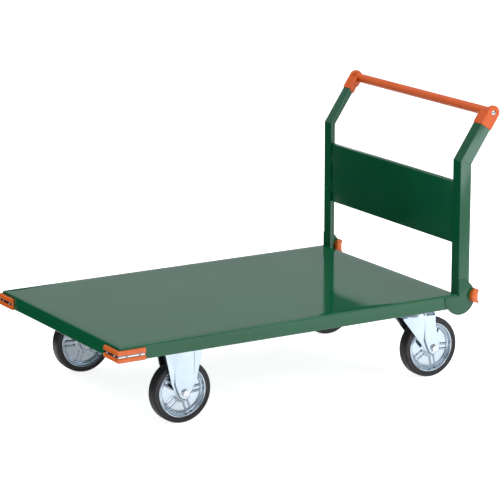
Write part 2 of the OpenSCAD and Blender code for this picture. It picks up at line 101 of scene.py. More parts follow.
class Nodes:
    """A short way to write a node material. Colours are linear."""

    def __init__(self, name, **constants):
        self.material = bpy.data.materials.new(name)
        self.material.use_nodes = True
        self.tree = self.material.node_tree
        self.shader = self.tree.nodes["Principled BSDF"]
        for socket, value in constants.items():
            self.shader.inputs[socket.replace("_", " ")].default_value = value
        self.where = self.tree.nodes.new("ShaderNodeTexCoord").outputs["Object"]

    def add(self, kind, links=(), **settings):
        made = self.tree.nodes.new(kind)
        for key, value in settings.items():
            setattr(made, key, value)
        for socket, source in dict(links).items():
            if isinstance(source, bpy.types.NodeSocket):
                self.tree.links.new(source, made.inputs[socket])
            else:
                made.inputs[socket].default_value = source
        return made

    def noise(self, scale, detail=3.0, rough=0.5, stretch=(1, 1, 1)):
        mapped = self.add("ShaderNodeMapping", {"Vector": self.where, "Scale": stretch})
        return self.add("ShaderNodeTexNoise", {
            "Vector": mapped.outputs[0], "Scale": scale, "Detail": detail, "Roughness": rough}).outputs["Fac"]

    def ramp(self, source, low, high, start=0.0, end=1.0):
        made = self.add("ShaderNodeMapRange", {
            "Value": source, "From Min": start, "From Max": end, "To Min": low, "To Max": high})
        return made.outputs["Result"]

    def mix(self, share, a, b):
        """Mixes two colours, by a socket that gives the second one's share."""
        made = self.add("ShaderNodeMix", {0: share, 6: (*a, 1), 7: (*b, 1)}, data_type="RGBA")
        return made.outputs[2]

    def colour(self, source):
        self.tree.links.new(source, self.shader.inputs["Base Color"])

    def roughness(self, source):
        self.tree.links.new(source, self.shader.inputs["Roughness"])

    def bump(self, layers):
        """layers: (height socket, strength, distance in metres), laid over each other."""
        normal = None
        for height, strength, distance in layers:
            links = {"Height": height, "Strength": strength, "Distance": distance}
            if normal is not None:
                links["Normal"] = normal
            normal = self.add("ShaderNodeBump", links).outputs["Normal"]
        self.tree.links.new(normal, self.shader.inputs["Normal"])


def paint(name, light, dark, gloss):
    """Stoved gloss enamel on sheet steel: slight orange peel, faint clouding, soft sheet waves."""
    m = Nodes(name, Specular_IOR_Level=0.37)
    m.colour(m.mix(m.ramp(m.noise(4.0, 4.0), 0.0, 1.0, 0.35, 0.65), light, dark))
    m.roughness(m.ramp(m.noise(14.0, 3.0), gloss[0], gloss[1], 0.3, 0.7))
    m.bump([(m.noise(1.6, 1.0), 0.12, 0.004), (m.noise(150.0, 2.0), 0.02, 0.0004)])
    return m.material


def moulded(name, light, dark, rough=(0.34, 0.5), specular=0.5):
    """Moulded plastic or rubber with a fine skin."""
    m = Nodes(name, Specular_IOR_Level=specular)
    m.colour(m.mix(m.ramp(m.noise(30.0, 4.0), 0.0, 1.0, 0.35, 0.65), light, dark))
    m.roughness(m.ramp(m.noise(60.0, 3.0), rough[0], rough[1], 0.3, 0.7))
    m.bump([(m.noise(1400.0, 3.0, 0.6), 0.12, 0.0005), (m.noise(70.0, 2.0), 0.08, 0.001)])
    return m.material


def plated(name, light, dark, rough, grain=(1, 1, 1)):
    """Bright zinc plate on pressed steel: faint clouding and a little drawn grain."""
    m = Nodes(name, Metallic=1.0)
    m.colour(m.mix(m.ramp(m.noise(26.0, 4.0, 0.55), 0.0, 1.0, 0.3, 0.7), light, dark))
    m.roughness(m.ramp(m.noise(60.0, 3.0, 0.5, grain), rough[0], rough[1], 0.3, 0.7))
    m.bump([(m.noise(40.0, 2.0, 0.5, grain), 0.06, 0.0006)])
    return m.material


def tyre_material():
    """Black rubber with a grey bloom and fine mould marks."""
    m = Nodes("tyre_rubber", Specular_IOR_Level=0.32)
    bloom = m.noise(24.0, 5.0, 0.65)
    m.colour(m.mix(m.ramp(bloom, 0.0, 1.0, 0.35, 0.7), (0.009, 0.0085, 0.010), (0.016, 0.015, 0.0165)))
    m.roughness(m.ramp(m.noise(40.0, 4.0), 0.36, 0.52, 0.3, 0.7))
    m.bump([(m.noise(800.0, 3.0, 0.6), 0.12, 0.0005), (m.noise(45.0, 2.0), 0.06, 0.001)])
    return m.material


def bronze_material():
    m = Nodes("bearing_bronze", Metallic=1.0)
    m.colour(m.mix(m.ramp(m.noise(120.0, 4.0), 0.0, 1.0, 0.35, 0.65), (0.52, 0.36, 0.18), (0.36, 0.24, 0.12)))
    m.roughness(m.ramp(m.noise(200.0, 3.0), 0.3, 0.45, 0.3, 0.7))
    m.bump([(m.noise(900.0, 2.0), 0.1, 0.0003)])
    return m.material


MATERIALS = {
    "deck_paint": paint("deck_paint", (0.0020, 0.062, 0.024), (0.0016, 0.055, 0.021), (0.07, 0.11)),
    "frame_paint": paint("frame_paint", (0.0018, 0.053, 0.022), (0.0013, 0.046, 0.018), (0.10, 0.15)),
    "grip_plastic": moulded("grip_plastic", (0.39, 0.058, 0.002), (0.36, 0.051, 0.002), specular=0.3),
    "bumper_rubber": moulded("bumper_rubber", (0.48, 0.088, 0.006), (0.42, 0.074, 0.005), (0.2, 0.3)),
    "zinc_bright": plated("zinc_bright", (0.52, 0.53, 0.54), (0.44, 0.46, 0.48), (0.16, 0.3)),
    "zinc_fork": plated("zinc_fork", (0.44, 0.51, 0.57), (0.38, 0.45, 0.51), (0.18, 0.26), (1, 1, 0.15)),
    "zinc_rim": plated("zinc_rim", (0.44, 0.50, 0.55), (0.37, 0.43, 0.48), (0.12, 0.20)),
    "steel_plain": plated("steel_plain", (0.42, 0.43, 0.45), (0.30, 0.31, 0.33), (0.3, 0.45)),
    "bearing_bronze": bronze_material(),
    "tyre_rubber": tyre_material(),
}


# ---------------- mesh tools

def piece(name, verts, faces, slot, body, replaced=(), sharp=32.0):
    """A mesh piece in its material, smooth up to the sharp angle, riding on a body."""
    mesh = bpy.data.meshes.new(name)
    mesh.from_pydata(verts, [], faces)
    clean(mesh, 1e-6)
    mesh.shade_smooth()
    mesh.set_sharp_from_angle(angle=math.radians(sharp))
    made = bpy.data.objects.new(name, mesh)
    bpy.context.scene.collection.objects.link(made)
    made.data.materials.append(MATERIALS[slot])
    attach(made, body)
    if replaced:
        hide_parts(*replaced)
    return made


def soften(made, width, segments, angle):
    """Bevels the edges sharper than an angle in degrees."""
    bevel = made.modifiers.new("edge", "BEVEL")
    bevel.width, bevel.segments = width, segments
    bevel.limit_method, bevel.angle_limit = "ANGLE", math.radians(angle)
    return bevel


class Build:
    """Gathers the vertices and faces of one piece from several solids."""

    def __init__(self):
        self.verts, self.faces = [], []

    def add(self, verts, faces):
        base = len(self.verts)
        self.verts += [Vector(v) for v in verts]
        self.faces += [tuple(base + i for i in f) for f in faces]
        return self

    def loops(self, loops, close_ring=True, cap_start=True, cap_end=True, close_path=False):
        """Bridges rings of equal length. A ring is a list of points."""
        count = len(loops[0])
        verts = [p for ring in loops for p in ring]
        faces = []
        rows = len(loops)
        for r in range(rows if close_path else rows - 1):
            nxt = (r + 1) % rows
            for i in range(count if close_ring else count - 1):
                j = (i + 1) % count
                faces.append((r * count + i, r * count + j, nxt * count + j, nxt * count + i))
        if cap_start and not close_path:
            faces.append(tuple(range(count))[::-1])
        if cap_end and not close_path:
            faces.append(tuple(range((rows - 1) * count, rows * count)))
        return self.add(verts, faces)

    def moved(self, matrix):
        self.verts = [matrix @ v for v in self.verts]
        return self

    def join(self, other, matrix=None):
        verts = other.verts if matrix is None else [matrix @ v for v in other.verts]
        return self.add(verts, other.faces)

    def piece(self, name, slot, body, replaced=(), sharp=32.0):
        return piece(name, self.verts, self.faces, slot, body, replaced, sharp)


def arc(centre, radius, start, end, steps):
    """Points on a circle in the plane, angles in degrees."""
    angles = [math.radians(start + (end - start) * i / steps) for i in range(steps + 1)]
    return [Vector((centre[0] + radius * math.cos(a), centre[1] + radius * math.sin(a))) for a in angles]


def full_turn(steps):
    """The angles of a full circle, in radians."""
    return [2 * math.pi * i / steps for i in range(steps)]


def in_mm(points):
    return [(a * MM, b * MM) for a, b in points]


MITRE_LIMIT = 0.3


def offset_outline(outline, distance):
    """Moves a closed outline inwards by a mitred offset; the outline runs anticlockwise."""
    moved = []
    count = len(outline)
    for i in range(count):
        a, b, c = outline[i - 1], outline[i], outline[(i + 1) % count]
        normal_in = Vector((-(b - a).y, (b - a).x)).normalized()
        normal_out = Vector((-(c - b).y, (c - b).x)).normalized()
        mitre = normal_in + normal_out
        moved.append(b + mitre * distance / max(mitre.length_squared / 2, MITRE_LIMIT))
    return moved


def anticlockwise(outline):
    area = sum(a.x * b.y - b.x * a.y for a, b in zip(outline, outline[1:] + outline[:1]))
    return outline if area > 0 else outline[::-1]


def slab(outline, y_a, y_b, fillet, steps=4):
    """Solid between two y planes from an outline in (x, z), with rounded edges."""
    outline = anticlockwise([Vector(p) for p in outline])
    low, high = min(y_a, y_b), max(y_a, y_b)
    quarter = [math.pi / 2 * k / steps for k in range(steps + 1)]
    edge = [(fillet * (1 - math.sin(a)), fillet * (1 - math.cos(a))) for a in quarter]
    levels = [(inset, low + rise) for inset, rise in edge]
    levels += [(inset, high - rise) for inset, rise in reversed(edge)]
    rings = [[Vector((p.x, y, p.y)) for p in offset_outline(outline, inset)] for inset, y in levels]
    return Build().loops(rings)


def lathe(profile, steps=96, closed=True):
    """Solid of revolution about the y axis from (radius, y) points."""
    rings = [[Vector((r * math.cos(a), y, r * math.sin(a))) for r, y in profile] for a in full_turn(steps)]
    return Build().loops(rings, close_ring=closed, close_path=True)


def lathe_z(profile, steps=72, closed=True):
    """Solid of revolution about the z axis from (radius, z) points."""
    rings = [[Vector((r * math.cos(a), r * math.sin(a), z)) for r, z in profile] for a in full_turn(steps)]
    return Build().loops(rings, close_ring=closed, close_path=True)


def mirrored(points):
    return list(points) + [(r, -y) for r, y in reversed(points)]


def rod_profile(radius, low, high, chamfer):
    return [(0.0, low), (radius - chamfer, low), (radius, low + chamfer), (radius, high - chamfer),
            (radius - chamfer, high), (0.0, high)]


def cylinder_y(x, z, radius, y_a, y_b, chamfer, steps=48):
    profile = rod_profile(radius, min(y_a, y_b), max(y_a, y_b), chamfer)
    return lathe(profile, steps, closed=False).moved(Matrix.Translation((x, 0, z)))


def disc_z(radius, low, high, chamfer):
    return lathe_z(rod_profile(radius, low, high, chamfer), 48, closed=False)


def hex_solid(width, height):
    """Hexagon head or nut standing on z = 0, its corners turned down at both ends."""
    across = width / 2
    corner = across / math.cos(math.pi / 6)
    levels = ((0.0, corner * 0.97), (0.06, corner), (0.72, corner), (0.9, across * 1.06),
              (1.0, across * 0.95))
    rings = []
    for share, limit in levels:
        ring = []
        for a in full_turn(48):
            from_flat = (a + math.pi / 6) % (math.pi / 3) - math.pi / 6
            r = min(across / math.cos(from_flat), limit)
            ring.append(Vector((r * math.cos(a), r * math.sin(a), height * share)))
        rings.append(ring)
    return Build().loops(rings)


def pointing(at, direction):
    """Places a solid that stands on z = 0 so that it stands on a point along a direction."""
    turn = Vector(direction).to_track_quat("Z", "Y").to_matrix().to_4x4()
    return Matrix.Translation(at) @ turn


def pan_head(radius, height):
    """Domed screw head standing on z = 0, with a cross recess."""
    arm_width, arm_reach, depth = 0.13 * radius, 0.55 * radius, 0.6 * height
    rows = 12
    turn = full_turn(48)
    rings = []
    for k in range(rows):
        r = radius * (1 - k / rows) if k > 2 else radius * (1 - 0.02 * k)
        dome = height * (1 - (r / radius) ** 2.6)
        ring = []
        for a in turn:
            x, y = r * math.cos(a), r * math.sin(a)
            arm = min(abs(x), abs(y)) / arm_width
            reach = max(abs(x), abs(y)) / arm_reach
            inside = max(0.0, 1 - arm ** 4) * max(0.0, 1 - reach ** 6)
            ring.append(Vector((x, y, dome - inside * depth)))
        rings.append(ring)
    rings.append([Vector((0, 0, height - depth))] * len(turn))
    return Build().loops(rings, cap_end=False)


def combine(target, tool, operation):
    """Boolean with another solid, applied; the other solid is used up."""
    bpy.context.view_layer.update()
    modifier = target.modifiers.new("solid", "BOOLEAN")
    modifier.operation = operation
    modifier.solver = "EXACT"
    modifier.object = tool
    bpy.context.view_layer.update()
    graph = bpy.context.evaluated_depsgraph_get()
    mesh = bpy.data.meshes.new_from_object(target.evaluated_get(graph))
    target.modifiers.clear()
    target.data = mesh
    bpy.data.objects.remove(tool)


def cut(target, tool):
    combine(target, tool, "DIFFERENCE")


def clean(mesh, distance):
    """Joins points that meet and turns every face outwards."""
    work = bmesh.new()
    work.from_mesh(mesh)
    bmesh.ops.remove_doubles(work, verts=work.verts, dist=distance)
    bmesh.ops.recalc_face_normals(work, faces=work.faces)
    work.to_mesh(mesh)
    work.free()


def tool_solid(build):
    """A bare mesh object used only to cut or extend another."""
    mesh = bpy.data.meshes.new("tool")
    mesh.from_pydata(build.verts, [], build.faces)
    clean(mesh, 1e-7)
    made = bpy.data.objects.new("tool", mesh)
    bpy.context.scene.collection.objects.link(made)
    return made


def smooth_step(t):
    t = min(1.0, max(0.0, t))
    return t * t * (3 - 2 * t)


# ---------------- deck

def deck_pan():
    """The folded sheet as rings of a rounded rectangle: top face, bend, skirt, lip and inside."""
    x0, x1, w = deck_lo.x, deck_hi.x, deck_hi.y
    low, high = deck_lo.z, deck_hi.z
    inner_r = FOLD_R - SHEET
    corner_steps, side_steps = 6, 10
    flat_insets = (0.30, 0.20, 0.10, 0.03)

    def ring(inset, z):
        r = max(FOLD_R - inset, 0.6 * MM)
        ends = ((x1 - inset - r, w - inset - r), (x0 + inset + r, w - inset - r),
                (x0 + inset + r, -w + inset + r), (x1 - inset - r, -w + inset + r))
        bends = [arc(end, r, 90 * k, 90 * k + 90, corner_steps) for k, end in enumerate(ends)]
        points = []
        for bend, after in zip(bends, bends[1:] + bends[:1]):
            points += bend + [bend[-1].lerp(after[0], k / side_steps) for k in range(1, side_steps)]
        return [Vector((p.x, p.y, z)) for p in points]

    rings = [ring(inset, high) for inset in flat_insets]
    for k in range(7):
        a = math.pi / 2 * k / 6
        rings.append(ring(FOLD_R * (1 - math.sin(a)), high - FOLD_R * (1 - math.cos(a))))
    for k in range(5):
        a = math.pi / 2 * k / 4
        rings.append(ring(FOLD_R * (1 - math.cos(a)), low + FOLD_R * (1 - math.sin(a))))
    rings += [ring(LIP, low), ring(LIP, low + SHEET), ring(SHEET + inner_r, low + SHEET),
              ring(SHEET, low + SHEET + inner_r), ring(SHEET, high - SHEET - inner_r),
              ring(SHEET + inner_r, high - SHEET)]
    rings += [ring(inset, high - SHEET) for inset in reversed(flat_insets)]
    Build().loops(rings).piece("deck_sheet", "deck_paint", "frame", ["deck_pan"])


def channel(name, node, lo, hi, thick, bend_r, fillet, bend_steps):
    """C section between two corners of a box, open to the rear."""
    x0, x1, z0, z1 = lo.x, hi.x, lo.z, hi.z
    top, bottom = (x0 + bend_r, z1 - bend_r), (x0 + bend_r, z0 + bend_r)
    inner_r = bend_r - thick
    outline = [Vector((x1, z1))] + arc(top, bend_r, 90, 180, bend_steps)
    outline += arc(bottom, bend_r, 180, 270, bend_steps) + [Vector((x1, z0)), Vector((x1, z0 + thick))]
    outline += arc(bottom, inner_r, 270, 180, bend_steps - 1) + arc(top, inner_r, 180, 90, bend_steps - 1)
    outline.append(Vector((x1, z1 - thick)))
    slab(outline, lo.y, hi.y, fillet, 2).piece(name, "frame_paint", "frame", [node])


def crossbars():
    """C channels with rounded bends; the nuts cover the bolt holes."""
    for node in CROSSBARS:
        lo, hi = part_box(node)
        channel(node + "_channel", node, lo, hi, 3 * MM, 4 * MM, 0.4 * MM, 4)


# ---------------- corner bumpers

bumper_lo, bumper_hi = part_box("corner_bumper_left")
BUMPER_H = 36 * MM
BUMPER_LOW = bumper_lo.z
BUMPER_MID = BUMPER_LOW + BUMPER_H / 2
BUMPER_LEG = bumper_hi.x - deck_lo.x
PROUD = deck_lo.x - bumper_lo.x
GROOVE_DEEP = 4 * MM
STRIP_T = 1.8 * MM
SCREWS_AT = (20 * MM, 64 * MM)


def corner_path(leg_end):
    """Places along the L round the left front corner: (point on the deck's side, outward direction)."""
    leg_steps, bend_steps = 4, 8
    corner = Vector((deck_lo.x, -SIDE_Y))
    along = [leg_end * k / leg_steps for k in range(leg_steps + 1)]
    path = [(corner + Vector((0, far)), Vector((-1, 0))) for far in reversed(along)]
    path += [(corner, out) for out in arc((0, 0), 1, 180, 270, bend_steps)]
    return path + [(corner + Vector((far, 0)), Vector((0, -1))) for far in along]


def corner_sweep(profile, leg_end, side, corner_r=4 * MM):
    """Sweeps a (depth, z) profile round the corner; the outer corner keeps a small radius."""
    rings = []
    corner = Vector((deck_lo.x, -SIDE_Y))
    for at, out in corner_path(leg_end):
        ring = []
        for depth, z in profile:
            r = min(corner_r, depth)
            p = at + out * depth
            if at == corner:
                p = at - Vector((depth - r, depth - r)) + out * r
            ring.append(Vector((p.x, side * -p.y, z)))
        rings.append(ring)
    return Build().loops(rings)


def moulding_profile():
    """The corner bumper's section: rounded lips, and a groove with rounded edges for the strip."""
    low, high, mid = BUMPER_LOW, BUMPER_LOW + BUMPER_H, BUMPER_MID
    lip, groove, edge = 3.2 * MM, 4.5 * MM, 1.5 * MM
    profile = [Vector((0.0, low)), Vector((PROUD - lip, low))]
    profile += arc((PROUD - lip, low + lip), lip, -90, 0, 5)[1:]
    profile += arc((PROUD - edge, mid - groove - edge), edge, 0, 90, 3)
    profile += [Vector((PROUD - GROOVE_DEEP, mid - groove)), Vector((PROUD - GROOVE_DEEP, mid + groove))]
    profile += arc((PROUD - edge, mid + groove + edge), edge, -90, 0, 3)
    profile += arc((PROUD - lip, high - lip), lip, 0, 90, 5)
    return [tuple(p) for p in profile + [Vector((0.0, high))]]


def strip_profile():
    """The metal strip's section, slightly crowned."""
    floor = PROUD - GROOVE_DEEP
    crown = ((0.0, 3.5), (1.2, 3.5), (1.6, 2.6))
    lower = [(floor + depth * MM, BUMPER_MID - half * MM) for depth, half in crown]
    upper = [(depth, 2 * BUMPER_MID - z) for depth, z in reversed(lower)]
    return lower + [(floor + STRIP_T, BUMPER_MID)] + upper


def corner_bumpers():
    for side_name in SIDES:
        side = side_sign(side_name)
        node = f"corner_bumper_{side_name}"
        made = corner_sweep(moulding_profile(), BUMPER_LEG, side).piece(
            node + "_moulding", "bumper_rubber", "frame", [node], sharp=40)
        soften(made, 1.4 * MM, 3, 60)
        node = f"bumper_strip_{side_name}"
        corner_sweep(strip_profile(), BUMPER_LEG - 4 * MM, side, 2.5 * MM).piece(
            node + "_band", "zinc_bright", "frame", [node])
    screws = Build()
    seat = PROUD - GROOVE_DEEP + STRIP_T
    head = pan_head(4.0 * MM, 2.0 * MM)
    for side in (-1, 1):
        for along in SCREWS_AT:
            screws.join(head, pointing((deck_lo.x + along, side * (SIDE_Y + seat), BUMPER_MID), (0, side, 0)))
            screws.join(head, pointing((deck_lo.x - seat, side * (SIDE_Y - along), BUMPER_MID), (-1, 0, 0)))
    screws.piece("bumper_screw_heads", "steel_plain", "frame", ["bumper_screws"])


# ---------------- handle

def post_place(step, back, side, across):
    """Point of the post's section: step 0 bottom, 1 bend, 2 arm end."""
    if step == 0:
        p = Vector((POST_X + back, post_lo.z))
    elif step == 1:
        p = Vector((POST_X + back, BEND_Z - back * math.tan(ARM_TILT / 2)))
    else:
        p = BEND + ARM_DIR * ARM_LEN + ARM_BACK * back
    return Vector((p.x, side * (SIDE_Y - across), p.y))


def posts():
    """Rolled angle section with its inner fillet and rounded toes, mitred and welded at the bend."""
    t, leg = POST_T, POST_LEG
    heel_r, toe_r, root_r = 1.2 * MM, 2 * MM, 4 * MM
    section = [Vector((leg, 0.0))] + arc((heel_r, heel_r), heel_r, 270, 180, 4) + [Vector((0.0, leg))]
    section += arc((t - toe_r, leg - toe_r), toe_r, 90, 0, 4)
    section += arc((t + root_r, t + root_r), root_r, 180, 270, 5)
    section += arc((leg - toe_r, t - toe_r), toe_r, 90, 0, 4)
    for side_name in SIDES:
        side = side_sign(side_name)
        rings = [[post_place(step, p.x, side, p.y) for p in section] for step in range(3)]
        node = f"post_{side_name}"
        Build().loops(rings).piece(node + "_angle", "frame_paint", "frame", [node], sharp=25)


def handle_panel():
    """Sheet with its long edges folded back."""
    channel("handle_panel_sheet", "handle_panel", panel_lo, panel_hi, 2 * MM, 3.5 * MM, 0.3 * MM, 5)


GUSSET_R = (gusset_hi.x - gusset_lo.x) / 2
GUSSET = Vector(((gusset_lo.x + gusset_hi.x) / 2, gusset_lo.z + GUSSET_R))
GUSSET_T = gusset_hi.y - gusset_lo.y
NOTCH_Z = deck_hi.z - FOLD_R


def gusset_outline(r):
    start = math.degrees(math.acos((POST_X - GUSSET.x) / r))
    end = 180 - math.degrees(math.asin((NOTCH_Z - GUSSET.y) / r))
    points = arc(GUSSET, r, end, 360 + start, 72)
    return points + [Vector((POST_X, NOTCH_Z))]


def gusset_plates():
    for side_name in SIDES:
        side = side_sign(side_name)
        slab(gusset_outline(GUSSET_R), side * SIDE_Y, side * (SIDE_Y + GUSSET_T), 0.7 * MM, 3).piece(
            f"gusset_{side_name}_disc", "frame_paint", "frame", [f"gusset_plate_{side_name}"])


BEAD_STEP = 1.6 * MM


def weld_bead(path, radius, seed):
    """Rippled bead along a path of points, thicker and thinner along its run, with tapered ends."""
    taper = {0: 0.45, 1: 0.8}
    last = len(path) - 1
    rings = []
    for i, p in enumerate(path):
        ahead = (path[min(i + 1, last)] - path[max(i - 1, 0)]).normalized()
        side = ahead.orthogonal().normalized()
        up = ahead.cross(side)
        ripple = 0.82 + 0.16 * abs(math.sin(i * 0.9)) + 0.12 * noise.noise(Vector((i * 0.23, seed, 0)))
        r = radius * ripple * taper.get(min(i, last - i), 1.0)
        rings.append([p + (side * math.cos(a) + up * math.sin(a)) * r for a in full_turn(10)])
    return Build().loops(rings)


def straight(a, b):
    a, b = Vector(a), Vector(b)
    count = max(4, int((b - a).length / BEAD_STEP))
    return [a.lerp(b, i / count) for i in range(count + 1)]


def along_disc(side, start, end):
    """Path round the outside of a gusset plate's edge, between two angles in degrees."""
    steps = int(math.radians(abs(end - start)) * GUSSET_R / BEAD_STEP)
    return [Vector((p.x, side * (SIDE_Y + 0.6 * MM), p.y))
            for p in arc(GUSSET, GUSSET_R + 0.8 * MM, start, end, steps)]


def weld_beads():
    beads = Build()

    def deck_angle(z):
        return 180 - math.degrees(math.asin((z - GUSSET.y) / GUSSET_R))

    def post_angle(x):
        return math.degrees(math.acos((x - GUSSET.x) / GUSSET_R))

    for index, side_name in enumerate(SIDES):
        side = side_sign(side_name)
        inner = side * (SIDE_Y - POST_LEG)

        def bead(path, radius, seed):
            beads.join(weld_bead(path, radius, seed))

        bead(along_disc(side, deck_angle(NOTCH_Z), deck_angle(deck_lo.z + 3 * MM)), 2.4 * MM, index)
        bead(along_disc(side, post_angle(POST_X + POST_LEG), post_angle(POST_X + 1 * MM)),
             2.4 * MM, index + 5)
        # seam across the outside of the mitred bend, ground nearly flush
        bead(straight(post_place(1, 0.5 * MM, side, 0), post_place(1, POST_LEG - 1 * MM, side, 0)),
             0.7 * MM, index + 9)
        # panel to the back of the post's flange, in short runs
        for share in (0.25, 0.75):
            z = panel_lo.z + share * (panel_hi.z - panel_lo.z)
            bead(straight((POST_X + POST_T, inner, z - 18 * MM), (POST_X + POST_T, inner, z + 18 * MM)),
                 1.6 * MM, z * 10 + index)
        # post flange to the deck's rear skirt
        bead(straight((POST_X, inner, deck_lo.z + 4 * MM), (POST_X, inner, deck_hi.z - 8 * MM)),
             2.2 * MM, index + 13)
        # crossbars to the skirt's inside
        for number, node in enumerate(CROSSBARS, 1):
            lo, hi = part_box(node)
            y = side * (hi.y - 0.5 * MM)
            bead(straight((lo.x, y, lo.z + 3 * MM), (lo.x, y, hi.z - 3 * MM)), 2 * MM, number)
    beads.piece("weld_beads_run", "frame_paint", "frame", ["weld_beads"], sharp=80)


def rear_bumpers():
    """Half-round block with domed ends, a groove around it and a slot for the gusset plate."""
    groove_at, groove, toe = 11 * MM, 1.2 * MM, 3 * MM
    play = 0.05 * MM
    for side_name in SIDES:
        side = side_sign(side_name)
        node = f"rear_bumper_{side_name}"
        lo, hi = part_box(node)
        r = (hi.z - lo.z) / 2
        middle = Vector((lo.x + r, (hi.z + lo.z) / 2))

        def outline(inset):
            rear, reach = hi.x - inset, r - inset
            points = arc(middle, reach, 90, 270, 40)
            points += arc((rear - toe, middle.y - reach + toe), toe, 270, 360, 5)
            return points + arc((rear - toe, middle.y + reach - toe), toe, 0, 90, 5)

        block = slab(outline(0), lo.y, hi.y, 10 * MM, 12)
        made = block.piece(node + "_block", "bumper_rubber", "frame", [node])
        x0, x1, z0, z1 = hi.x - groove_at, hi.x - groove_at + groove, lo.z - r, hi.z + r
        ring = tool_solid(slab([(x0, z0), (x1, z0), (x1, z1), (x0, z1)], lo.y - r, hi.y + r, 0.1 * MM, 1))
        cut(ring, tool_solid(slab(outline(groove), lo.y + groove, hi.y - groove, 9 * MM, 12)))
        cut(made, ring)
        cut(made, tool_solid(slab(gusset_outline(GUSSET_R + play), side * (SIDE_Y - play),
                                  side * (SIDE_Y + GUSSET_T + play), 0.1 * MM, 1)))
        made.data.set_sharp_from_angle(angle=math.radians(35))


BRACKET_SKIN = 2.5 * MM
BRACKET_FROM, BRACKET_COVER, BRACKET_BOSS = 134 * MM, 180 * MM, 12 * MM
BRACKET_FACE = SIDE_Y + BRACKET_SKIN
BRACKET_EDGE = 2.4 * MM
SCREW_RECESS, SCREW_RECESS_R = 1.0 * MM, 9.6 * MM


def arm_place(along, back):
    return BEND + ARM_DIR * along + ARM_BACK * back


def bracket_outline(low):
    """The arm's outline with its skin from a place along it, closed by the round head about the grip."""
    start = math.degrees(math.atan2(ARM_BACK.y, ARM_BACK.x))
    head = arc(GRIP, POST_LEG / 2 + BRACKET_SKIN, start, start + 180, 48)
    return [arm_place(low, POST_LEG + BRACKET_SKIN)] + head + [arm_place(low, -BRACKET_SKIN)]


def grip_brackets():
    """Angle-shaped sleeve over the arm's web and front flange, with a round head that holds the grip."""
    wall = POST_T + BRACKET_SKIN
    cover = [arm_place(BRACKET_FROM, -BRACKET_SKIN), arm_place(BRACKET_COVER, -BRACKET_SKIN),
             arm_place(BRACKET_COVER, wall), arm_place(BRACKET_FROM, wall)]
    for side_name in SIDES:
        side = side_sign(side_name)
        node = f"grip_bracket_{side_name}"
        face = side * BRACKET_FACE

        def part(outline, inner):
            return slab(outline, face, side * (SIDE_Y - inner), BRACKET_EDGE, 6)

        made = part(bracket_outline(BRACKET_FROM), wall).piece(node + "_cap", "grip_plastic", "frame", [node])
        combine(made, tool_solid(part(bracket_outline(ARM_LEN), BRACKET_BOSS)), "UNION")
        combine(made, tool_solid(part(cover, POST_LEG + BRACKET_SKIN)), "UNION")
        cut(made, tool_solid(cylinder_y(GRIP.x, GRIP.y, SCREW_RECESS_R, face - side * SCREW_RECESS,
                                        face + side * 10 * MM, 0.2 * MM, 64)))
        made.data.set_sharp_from_angle(angle=math.radians(35))


def grip():
    half = sleeve_hi.y
    cover = cylinder_y(GRIP.x, GRIP.y, GRIP_R, -half, half, 0.4 * MM, 96)
    cover.piece("grip_cover", "grip_plastic", "frame", ["grip_sleeve"])
    screws = Build()
    for side in (-1, 1):
        seat = (GRIP.x, side * (BRACKET_FACE - SCREW_RECESS), GRIP.y)
        screws.join(pan_head(8 * MM, 3.4 * MM + SCREW_RECESS), pointing(seat, (0, side, 0)))
    screws.piece("grip_screw_heads", "zinc_bright", "frame", ["grip_screws"])


# ---------------- casters

LEG_FACE = 36 * MM
LEG_END_R = 24 * MM
LEG_FOOT = LEG_END_R - 0.15 * MM
LEG_SHEET = 3.2 * MM
PLATE_LOW = deck_lo.z + 2 * MM
PLATE_T = 6 * MM
FORK_TOP = {"front": PLATE_LOW, "rear": 214 * MM}


def between(points, z):
    """x on a side line given as (z, x) points from the top down."""
    if z >= points[0][0]:
        return points[0][1]
    for (za, xa), (zb, xb) in zip(points, points[1:]):
        if z >= zb:
            return xa + (xb - xa) * (za - z) / (za - zb)
    return points[-1][1]


def touch(px, pz, turn):
    """Where a line from a point touches the leg's round end about the axle at (0, 0)."""
    d = math.hypot(px, pz)
    base = math.atan2(-pz, -px)
    half = math.asin(LEG_END_R / d)
    reach = math.sqrt(d * d - LEG_END_R ** 2)
    return px + reach * math.cos(base + turn * half), pz + reach * math.sin(base + turn * half)


def side_line(points, turn):
    """Side of a leg from its knees down to the round end, then round to the bottom; heights from the axle."""
    tx, tz = touch(*points[-1], turn)
    start = math.atan2(tz, tx)
    end = -math.pi / 2
    if turn < 0:
        start %= 2 * math.pi
        end = 3 * math.pi / 2
    round_end = arc((0, 0), LEG_END_R, math.degrees(start), math.degrees(end), 12)[1:]
    return [(z, x) for x, z in points] + [(tz, tx)] + [(p.y, p.x) for p in round_end]


def leg_lines(front, top):
    """Sides of a leg and of the channel pressed into it: (left, right) pairs, from (x, z) points in mm."""
    if front:
        outer = ((-66, top), (-42, 30)), ((66, top), (42, 30))
        inner = ((-36, top), (-36, 30)), ((36, top), (36, 30))
    else:
        outer = ((-122, top),), ((4, top), (5, 70), (10, 52), (17, 38), (22, 24))
        inner = ((-37, top), (-37, 30)), ((30, top), (30, 20))
    return [(side_line(in_mm(left), -1), side_line(in_mm(right), 1)) for left, right in (outer, inner)]


def spread(start, end, steps):
    """Evenly spaced values from the start up to, but without, the end."""
    return [start + (end - start) * k / steps for k in range(steps)]


